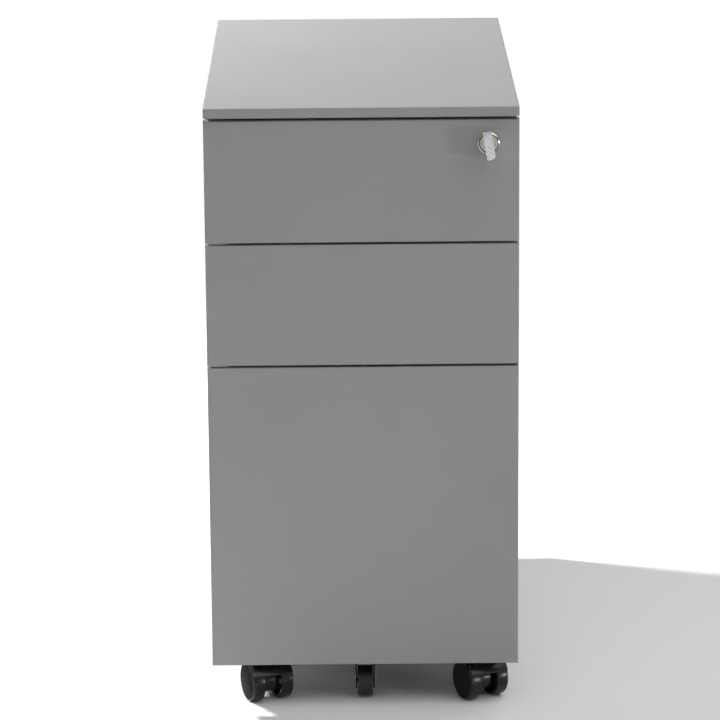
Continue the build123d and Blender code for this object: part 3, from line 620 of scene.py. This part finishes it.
def add_screw(bm, place, height):
    """A pan head along +Z of its place matrix, with a round recess."""
    inset = SCREW_RADIUS * INSET_SHARE
    base = bmesh.ops.create_circle(bm, cap_ends=True, segments=SCREW_SIDES, radius=SCREW_RADIUS)["verts"]
    grown = bmesh.ops.extrude_face_region(bm, geom=[base[0].link_faces[0]])["geom"]
    top = [item for item in grown if isinstance(item, bmesh.types.BMFace)]
    lid = [item for item in grown if isinstance(item, bmesh.types.BMVert)]
    bmesh.ops.translate(bm, verts=lid, vec=(0, 0, height * RIM_SHARE))
    dome = bmesh.ops.inset_region(bm, faces=top, thickness=inset, depth=0.0)["faces"]
    bmesh.ops.translate(bm, verts=top[0].verts[:], vec=(0, 0, height * DOME_SHARE))
    bmesh.ops.inset_region(bm, faces=top, thickness=inset, depth=0.0)
    bmesh.ops.translate(bm, verts=top[0].verts[:], vec=(0, 0, -height * RECESS_SHARE))
    made = set(base) | set(lid) | {vert for face in dome + top for vert in face.verts}
    bmesh.ops.transform(bm, matrix=place, verts=list(made))


print("screw heads of", 2 * SCREW_RADIUS, "m across")

# %% Castor screws
PLATE_HOLE, CASTOR_HEAD = 0.013, 0.0022
bm = bmesh.new()
for corner in corners:
    pivot = Vector(joints[f"castor_{corner}_swivel"]["pos_m"])
    for dx in (-PLATE_HOLE, PLATE_HOLE):
        for dy in (-PLATE_HOLE, PLATE_HOLE):
            head = Matrix.Translation(pivot + Vector((dx, dy, 0))) @ Matrix.Rotation(radians(180), 4, "X")
            add_screw(bm, head, CASTOR_HEAD)
finish_piece("castor_screws", bm, "carcass", zinc)
print("castor screws:", 4 * len(corners))

# %% Tray screws
TRAY_SHEET, TRAY_HEAD, SCREW_PLACES = 0.0008, 0.0018, (0.08, 0.5, 0.92)
for drawer in drawers:
    low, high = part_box(f"{drawer}_drawer_runners")
    _, wall_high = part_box(f"{drawer}_drawer_tray")
    inside = wall_high.x - TRAY_SHEET
    bm = bmesh.new()
    for share in SCREW_PLACES:
        y = low.y + (high.y - low.y) * share
        for side in (-1, 1):
            head = Matrix.Translation((side * inside, y, (low.z + high.z) / 2))
            head = head @ Matrix.Rotation(radians(-90 * side), 4, "Y")
            add_screw(bm, head, TRAY_HEAD)
    finish_piece(f"{drawer}_tray_screws", bm, f"{drawer}_drawer", zinc)
print("tray screws:", 2 * len(SCREW_PLACES) * len(drawers))

# %% [markdown]
# ## Floor
#
# The picture has a white ground that shows nothing but a shadow. Near the object the floor is matt white
# paper. Farther off it blends into plain white, which only the camera and mirror-like surfaces see, so
# that it adds no light to the shadow.

# %% Floor
FLOOR_HALF = 20.0
bm = bmesh.new()
bmesh.ops.create_grid(bm, x_segments=1, y_segments=1, size=FLOOR_HALF)
floor_mesh = bpy.data.meshes.new("floor")
bm.to_mesh(floor_mesh)
bm.free()
floor = bpy.data.objects.new("floor", floor_mesh)
bpy.context.scene.collection.objects.link(floor)
print("floor:", floor.name)

# %% White ground
PAPER, PAPER_ROUGH, PAPER_SHINE = (0.90, 0.90, 0.893, 1), 0.9, 0.1
BLEND_CENTRE, BLEND_START, BLEND_END = (-0.25, 0.15, 0.0), 0.75, 1.5
ground, nodes, links, paper, where = new_finish("white_ground")
paper.inputs["Base Color"].default_value = PAPER
paper.inputs["Roughness"].default_value = PAPER_ROUGH
paper.inputs["Specular IOR Level"].default_value = PAPER_SHINE
away = nodes.new("ShaderNodeVectorMath")
away.operation = "DISTANCE"
away.inputs[1].default_value = BLEND_CENTRE
links.new(where, away.inputs[0])
blend = nodes.new("ShaderNodeMapRange")
blend.interpolation_type = "SMOOTHSTEP"
blend.inputs["From Min"].default_value = BLEND_START
blend.inputs["From Max"].default_value = BLEND_END
links.new(away.outputs["Value"], blend.inputs["Value"])
rays = nodes.new("ShaderNodeLightPath")
direct = nodes.new("ShaderNodeMath")
direct.operation = "MAXIMUM"
links.new(rays.outputs["Is Camera Ray"], direct.inputs[0])
links.new(rays.outputs["Is Glossy Ray"], direct.inputs[1])
seen = nodes.new("ShaderNodeMath")
seen.operation = "MULTIPLY"
links.new(blend.outputs["Result"], seen.inputs[0])
links.new(direct.outputs[0], seen.inputs[1])
both = nodes.new("ShaderNodeMixShader")
links.new(seen.outputs[0], both.inputs["Fac"])
links.new(paper.outputs[0], both.inputs[1])
links.new(nodes.new("ShaderNodeEmission").outputs[0], both.inputs[2])
links.new(both.outputs[0], nodes["Material Output"].inputs["Surface"])
floor_mesh.materials.append(ground)
print("ground:", ground.name, "blends from", BLEND_START, "to", BLEND_END, "m")

# %% [markdown]
# ## Light
#
# The shadow spreads out to the right and towards the viewer: the main lamp is small and stands close by
# on the left, a little behind the object. Two large lamps high on the right, before and behind the
# object, and a broad one overhead in front soften that shadow. A small lamp low on the right lifts the
# drawer fronts and puts bright points on the lock's ring and the castors. The world is dim for matt
# surfaces, brighter in mirrors, and white for the camera.

# %% World
MATT_LEVEL, MIRROR_LEVEL = 0.12, 0.5
world = bpy.data.worlds.new("studio")
bpy.context.scene.world = world
world.use_nodes = True
nodes, links = world.node_tree.nodes, world.node_tree.links
sky = nodes["Background"]
sky.inputs["Color"].default_value = (1.0, 1.0, 1.0, 1.0)
rays = nodes.new("ShaderNodeLightPath")
level = nodes.new("ShaderNodeMapRange")
level.inputs["To Min"].default_value = MATT_LEVEL
level.inputs["To Max"].default_value = MIRROR_LEVEL
links.new(rays.outputs["Is Glossy Ray"], level.inputs["Value"])
direct = nodes.new("ShaderNodeMath")
direct.operation = "MAXIMUM"
links.new(rays.outputs["Is Camera Ray"], direct.inputs[0])
links.new(level.outputs["Result"], direct.inputs[1])
links.new(direct.outputs[0], sky.inputs["Strength"])
print("world:", world.name)

# %% Lamps
LOW_TARGET, MIDDLE_TARGET, FOOT_TARGET = (0.0, 0.0, 0.2), (0.0, 0.0, 0.25), (0.0, -0.2, 0.0)


def add_lamp(name, place, target, size, power):
    """A round lamp at a place, turned to a target, with its width and its watts."""
    lamp = bpy.data.lights.new(name, "AREA")
    lamp.shape = "DISK"
    lamp.size = size
    lamp.energy = power
    holder = bpy.data.objects.new(name, lamp)
    holder.location = place
    holder.rotation_mode = "QUATERNION"
    holder.rotation_quaternion = (Vector(target) - Vector(place)).to_track_quat("-Z", "Y")
    bpy.context.scene.collection.objects.link(holder)


add_lamp("left_lamp", (-1.5, 0.83, 1.4), LOW_TARGET, size=0.2, power=72.0)
add_lamp("right_softbox", (1.5, -1.2, 2.5), LOW_TARGET, size=2.4, power=26.0)
add_lamp("back_softbox", (1.4, 0.9, 2.6), LOW_TARGET, size=2.0, power=21.0)
add_lamp("front_lamp", (2.8, -1.95, 0.30), MIDDLE_TARGET, size=0.5, power=20.0)
add_lamp("ceiling", (0.0, -3.0, 5.5), FOOT_TARGET, size=7.0, power=73.0)

# %% [markdown]
# ## Camera
#
# The picture was taken from far off with a long lens, looking down by about fifteen degrees. These
# numbers come from fitting the picture's edges to the object's size: the place of the lens, how far it
# looks down, and the slight turn and tilt of the frame. Angles are in radians, the lens in millimetres.

# %% Camera
PITCH, YAW, ROLL = 0.257, 0.0046, -0.0079
EYE_SIDE, EYE_BEFORE_TOP, EYE_OVER_TOP = -0.0193255, 3.5730688, 0.6927037
FOCAL_LENGTH, SENSOR_WIDTH, FARTHEST = 192.23, 36.0, 100.0
forward = Vector((sin(YAW) * cos(PITCH), cos(YAW) * cos(PITCH), -sin(PITCH)))
level_right = Vector((cos(YAW), -sin(YAW), 0.0))
level_up = level_right.cross(forward)
right = cos(ROLL) * level_right + sin(ROLL) * level_up
up = -sin(ROLL) * level_right + cos(ROLL) * level_up
eye = Vector((EYE_SIDE, top_low.y - EYE_BEFORE_TOP, top_high.z + EYE_OVER_TOP))
lens = bpy.data.cameras.new("long_lens")
lens.lens = FOCAL_LENGTH
lens.sensor_width = SENSOR_WIDTH
lens.clip_end = FARTHEST
camera = bpy.data.objects.new("camera", lens)
camera.matrix_world = Matrix((
    (right.x, up.x, -forward.x, eye.x),
    (right.y, up.y, -forward.y, eye.y),
    (right.z, up.z, -forward.z, eye.z),
    (0.0, 0.0, 0.0, 1.0),
))
bpy.context.scene.collection.objects.link(camera)
bpy.context.scene.camera = camera
bpy.context.scene.view_settings.view_transform = "Standard"
print("camera at", [round(v, 3) for v in eye])
